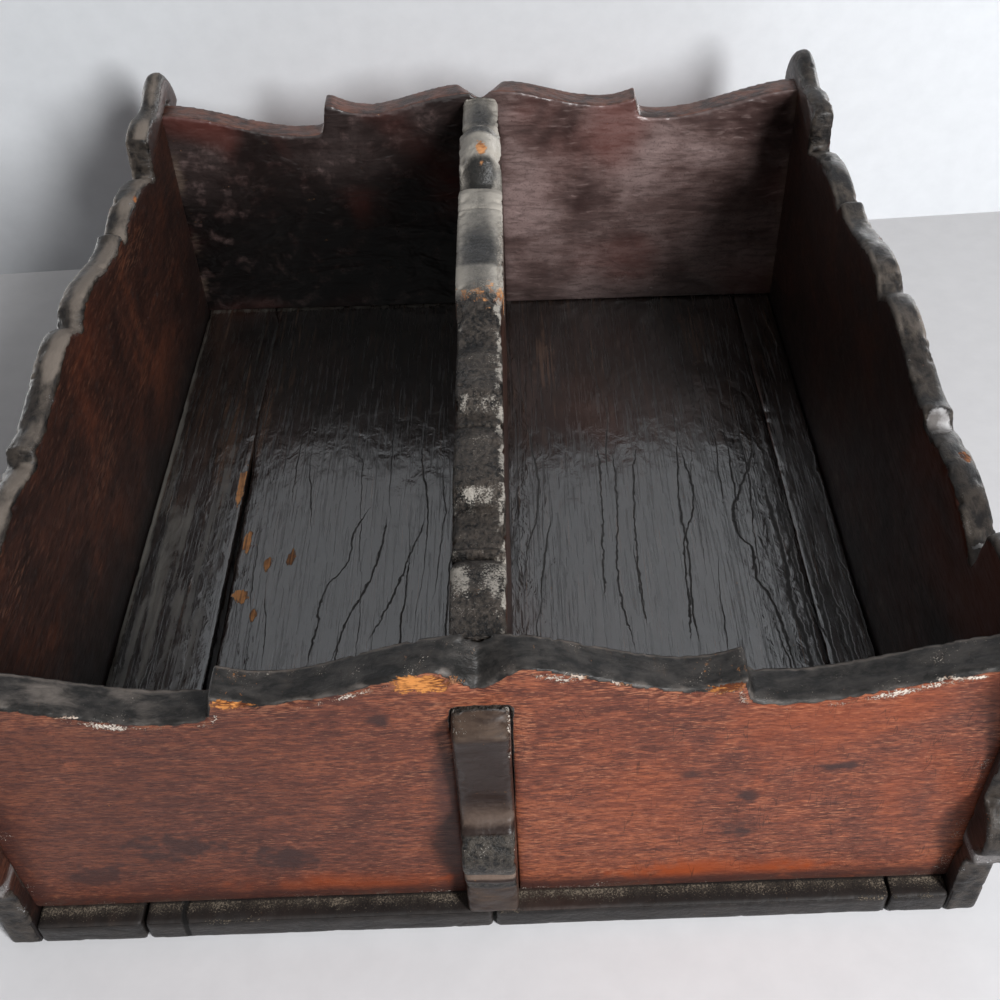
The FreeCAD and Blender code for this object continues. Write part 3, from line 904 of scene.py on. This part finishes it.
def makeDivider():
    spec = dividerBoard
    piece = boardCopy(spec["node"], "dividerBoard", spec["voxel"], spec["rounding"])
    shapeDivider(piece, spec)
    points, _, edge, gap = wearBoard(piece, 0, spec["wear"])
    x, y, z = points.T
    outer = np.abs(y) > wallFace + 0.5
    behind = soft(y, -3, 4)
    onRim = z > spec["rimFrom"]
    onCrest = z > spec["crestFrom"]
    arrises = near(gap, 1.1)
    streaks = noiseAt(points, (1.6, 5, 5), 57) + 0.6 * noiseAt(points, (1.2, 1.6, 1.6), 58)

    # wear along the rim
    aside = np.clip(np.abs(x) / spec["half"], 0, 1) ** 2
    rubbed = follow(y, spec["rubbed"])
    rubbed *= 1 - (1 - behind) * soft(np.abs(x), 3, 4.8) * soft(rubbed, 0.4, 0.6)
    frontSides = near(y + 93, 5) * soft(np.abs(x), 1.2, 3)
    top = rubbed + 0.45 * behind * aside + 0.4 * frontSides - 0.08 + (0.3 - 0.22 * behind) * streaks
    # worn arrises, paler on the right: partly wear, partly a painted highlight
    top = most(top, (0.7 - 0.2 * behind) * arrises * soft(streaks + 0.25 * np.sign(x), -0.1, 0.6))
    crest = near(y - 0.5, 5) * onCrest
    flank = soft(x, 3.6, 4.8) * band(y, (-4, 4), (34, 44)) * onRim
    orange = patches(points, fromAbove, spec["orange"], 59) * onCrest

    # the brackets outside the walls, from the foot up
    tongue = outer * band(z, (25.8, 26.4), (27.4, 28.8))
    hollows = outer * ((z > 18.5) & (z < 25) | (z > 28.5) & (z < 40.5))
    collar = outer * band(z, (41, 41.8), (42.4, 52))
    corner = outer * soft(x, 4.2, 5.2) * soft(z, 58, 66)
    underSlab = outer * band(z, (62, 66), (70, 73))
    slab = outer * soft(z, 70.5, 72.5)
    bracketWear = most(0.75 * tongue, 0.5 * collar, 0.35 * arrises * soft(streaks, -0.2, 0.8))

    store(piece,
          paint=rimPaint(points, edge, gap, 51, spec["paintSpread"]),
          worn=np.where(outer, bracketWear, np.where(onRim, top, 0.5 * arrises)),
          bare=most(orange, 0.62 * crest * soft(streaks, -0.7, 0.4)),
          film=most(0.45 * slab, 0.3 * outer * (z < 18)),
          rough=np.where(outer, hollows, 1 - 0.85 * behind),
          dust=most(0.2 * slab, 0.4 * corner, 0.14 * hollows, 0.14 * arrises, 0.42 * flank, 0.3 * crest,
                    0.13 * ~outer * (1 - behind) * onRim),
          grime=0.6 * soft(40 - z, 0, 30),
          glow=0.8 * underSlab)
    for polygon in piece.data.polygons:
        polygon.material_index = int(abs(polygon.center.y) / mm > wallFace + 0.1)
    dress(piece, spec["node"], "divider_wood", woodFinish("dividerPaint", dividerLook),
          woodFinish("bracketPaint", bracketLook))


makeDivider()

# Floor boards

# lanes are shrinkage cracks all over the floor, and routes are single cracks with their half widths
floorCracks = {"depth": 0.08, "darken": 0.92,
               "lanes": {"apart": 4.6, "sway": 5.0, "swayGrain": (20.0, 8.0, 20.0),
                         "wobble": 0.9, "wobbleGrain": (60.0, 48.0, 60.0), "rag": 0.3, "laneStep": 3.7,
                         "run": 9.0, "from": 0.52, "ease": 0.14, "crowd": 0.12, "crowdX": (62, 80),
                         "fade": 0.7, "fadeY": (20, 45), "width": 0.08},
               "routes": [([(57.7, 30), (59.5, 18), (59.2, 1), (55.2, -11), (53.7, -33), (52, -50)], 0.32),
                          ([(81.8, 33), (78.5, 19), (70.8, -1), (71.1, -10), (73.8, -16), (73.3, -26),
                            (75.9, -34), (77.6, -47), (78, -62)], 0.5),
                          ([(84.6, 14), (85.2, -20), (84.8, -45), (85.8, -70)], 0.6),
                          ([(88.6, -2), (89.2, -30), (89.0, -55), (90, -80)], 0.6),
                          ([(92, -16), (92.6, -45), (93.6, -78)], 0.55),
                          ([(33, 31), (32.5, 0), (31.5, -14), (31, -34)], 0.3),
                          ([(45, 31), (41.7, 0), (40.9, -26), (41.5, -44)], 0.3),
                          ([(-18.7, 2), (-24, -17), (-27.5, -30), (-33.5, -46)], 0.28),
                          ([(81, 12), (82.2, -16), (81.4, -34), (82.5, -50), (82.2, -66)], 0.8),
                          ([(37.5, 30), (36.9, 0), (35.1, -21), (35.8, -37), (38, -52)], 0.3),
                          ([(-34.9, 8), (-39.3, -4), (-40.5, -15), (-46.1, -26), (-47.2, -40),
                            (-49, -54)], 0.3),
                          ([(-30.4, 3), (-32.4, -15), (-34.7, -25), (-39.5, -38), (-42, -52)], 0.32)]}
ledgeCracks = {"depth": 0.5, "darken": 0.95, "routes": [([(-67.4, -112), (-67.8, -117), (-67.2, -124)], 0.9)]}
floorLook = dict(wallLook, grain=(300.0, 18.0, 60.0), dashes=(1500.0, 50.0, 180.0),
                 cloud=16.0, cloudShare=0.6,
                 dark=(17, 13, 12), mid=(27, 21, 19), light=(42, 31, 27), mottle=0.2,
                 pores=0.9, pore=(10, 8, 8), poreDepth=0.02, poreMatt=0.26,
                 flash=(96, 74, 60), flashShare=0.5,
                 woodRough=0.17, roughSpread=0.16, ior=1.92, craze=0,
                 bareDark=(112, 70, 38), bareLight=(204, 142, 86), filmTone=(112, 108, 100),
                 dustTone=(150, 140, 124), dustDark=(90, 80, 68), grimeTone=(12, 9, 8), glowTone=(64, 42, 34),
                 lumps=(200.0, 120.0, 120.0), lumpHeight=0.36, grainHeight=0.05, cracks=floorCracks)
ledgeLook = dict(floorLook, ior=1.38, woodRough=0.62, flashShare=0.0, pores=0.2, clump=0.4,
                 dark=(18, 14, 13), mid=(25, 20, 18), light=(38, 30, 26),
                 paintDark=(18, 15, 14), paintLight=(34, 30, 28), filmTone=(84, 75, 66),
                 dustTone=(124, 113, 99), dustDark=(76, 67, 57), cracks=ledgeCracks)

# each floor board with its seed, and the wear that all four share
floorBoards = {"floor_left_strip": 6.0, "floor_left_board": 7.0,
               "floor_right_board": 8.0, "floor_right_strip": 9.0}
floorWear = {"voxel": 0.85, "rounding": 1, "from": -1, "wave": 0.12, "cut": 0.1, "cutSize": (9, 9, 9),
             "chip": 0.35, "chipReach": 1.2}
floorChips = [(-63.3, -15, 1.2, 3.4), (-56.8, -13.4, 1.3, 3.8), (-69.2, -27, 2.6, 2.4),
              (-70.3, -6.5, 1.4, 4.6), (-64.8, -34, 1.0, 2.4)]
jointSliver = [(-75.2, 17, 0.9, 9)]
dryStreaks = [(18, 72, 5, 14), (70, 84, 7, 16), (-82, 40, 4, 26), (-72, 50, 2, 22)]

# joints that wood movement has shifted: reach is how far the boards beside them move along
leftJoint = {"line": -76.6, "shift": 2.9, "built": 0.6, "reach": 14, "rag": 0.35, "ragSize": 6,
             "open": [(-112, 0.6), (-90, 1.5), (-55, 1.6), (22, 0.8), (32, -0.2), (40, -1.2), (100, -1.2),
                      (112, 0.6)]}
rightJoint = {"line": 87.0, "close": 0.26, "reach": 14}


def shiftJoints(piece):
    # the left joint wanders inside the tray and opens towards the front, and the right one closes up
    points = pointsOf(piece)
    x, y = points[:, 0], points[:, 1]
    inside = 1 - soft(np.abs(y), 96, 112)
    wander = leftJoint["shift"] * inside
    opened = (follow(y, leftJoint["open"]) - leftJoint["built"]) * (x < 0)
    ragged = leftJoint["rag"] * noiseAt(points, leftJoint["ragSize"], 71) * inside
    past = x - leftJoint["line"]
    strip = soft(past, -leftJoint["reach"], -1) * (past < 0)
    main = (1 - soft(past, 1, leftJoint["reach"])) * (past > 0)
    before = rightJoint["line"] - x
    reach = rightJoint["reach"]
    meet = rightJoint["close"] * soft(reach - np.abs(before), 0, reach - 1) * inside
    points[:, 0] = x + strip * wander + main * (wander + opened + ragged) + np.sign(before) * meet
    setPoints(piece, points)


def makeFloorBoard(nodeName, seed):
    pieceName = "floor." + nodeName.split("_", 1)[1]
    piece = boardCopy(nodeName, pieceName, floorWear["voxel"], floorWear["rounding"])
    shiftJoints(piece)
    points, normals, edge, _ = wearBoard(piece, 2, dict(floorWear, seed=seed))
    x, y = points[:, 0], points[:, 1]
    upward = normals[:, 2]
    ledgeFrom = wallFace - 0.2
    outer = np.abs(y) > ledgeFrom
    top = upward > 0.5

    # inside the tray: dull films along the left side, the back wall and the left strip
    nearSide = soft(-x - insideX, -3, -0.4) * (0.45 + 0.55 * near(y - 15, 45)) * ~outer
    nearBack = soft(y - insideY, -3, -0.5) * soft(-x, -20, 0) * ~outer
    dull = soft(-x, 75, 80) * soft(noiseAt(points, (2, 30, 5), 66), -0.6, 0.6)
    dull *= (1 - 0.7 * soft(y, 0, 60)) * ~outer
    chips = patches(points, fromAbove, floorChips, 61) * top
    sliver = patches(points, fromAbove, jointSliver, 63)

    # the ledges outside the walls
    ledge = outer * soft(upward, 0.4, 0.8)
    nearWall = soft(120 - np.abs(y), 0, 4)
    lip = outer * (upward > 0.25) * (upward < 0.9) * soft(noiseAt(points, 16, 67), -0.1, 0.5)

    store(piece,
          paint=edge * outer,
          bare=0.9 * most(chips, sliver),
          film=most(most(0.95 * nearSide, 0.5 * dull, 0.4 * nearBack) * top, 0.45 * ledge * nearWall),
          dust=most(ledge * (0.18 + 0.3 * nearWall), 0.4 * lip, 0.1 * nearSide),
          rubbed=0.9 * patches(points, fromAbove, dryStreaks, 69) * top,
          glow=0.6 * soft(noiseAt(points, (22, 50, 22), seed + 3), 0.1, 0.7))
    for polygon in piece.data.polygons:
        polygon.material_index = int(abs(polygon.center.y) / mm > ledgeFrom or polygon.normal.z < -0.5)
    dress(piece, nodeName, "floor_wood", lacquer, ledgePaint)


lacquer = woodFinish("floorLacquer", floorLook)
ledgePaint = woodFinish("ledgePaint", ledgeLook)
for nodeName, seed in floorBoards.items():
    makeFloorBoard(nodeName, seed)

# Nails: forged iron heads under old paint

nailLook = {"dark": (22, 20, 19), "light": (58, 46, 38), "rough": 0.6, "metal": 0.4,
            "rustGrain": 700.0, "rustTones": (0.35, 0.7), "rustHeight": 0.15}


def ironFinish(look):
    material, tree, shader, space = newFinish("nailIron")
    rust = evenNoise(tree, space, look["rustGrain"], 4.0, 0.65)
    tone = colourRamp(tree, rust, look["rustTones"], (look["dark"], look["light"]))
    tree.links.new(tone, shader.inputs["Base Color"])
    shader.inputs["Roughness"].default_value = look["rough"]
    shader.inputs["Metallic"].default_value = look["metal"]
    bumpTo(tree, shader, times(tree, rust, look["rustHeight"]))
    return material


nailFinish = ironFinish(nailLook)
for name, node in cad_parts.items():
    if name.startswith("nails_"):
        node.data.materials.clear()
        node.data.materials.append(nailFinish)
print("nails finished")
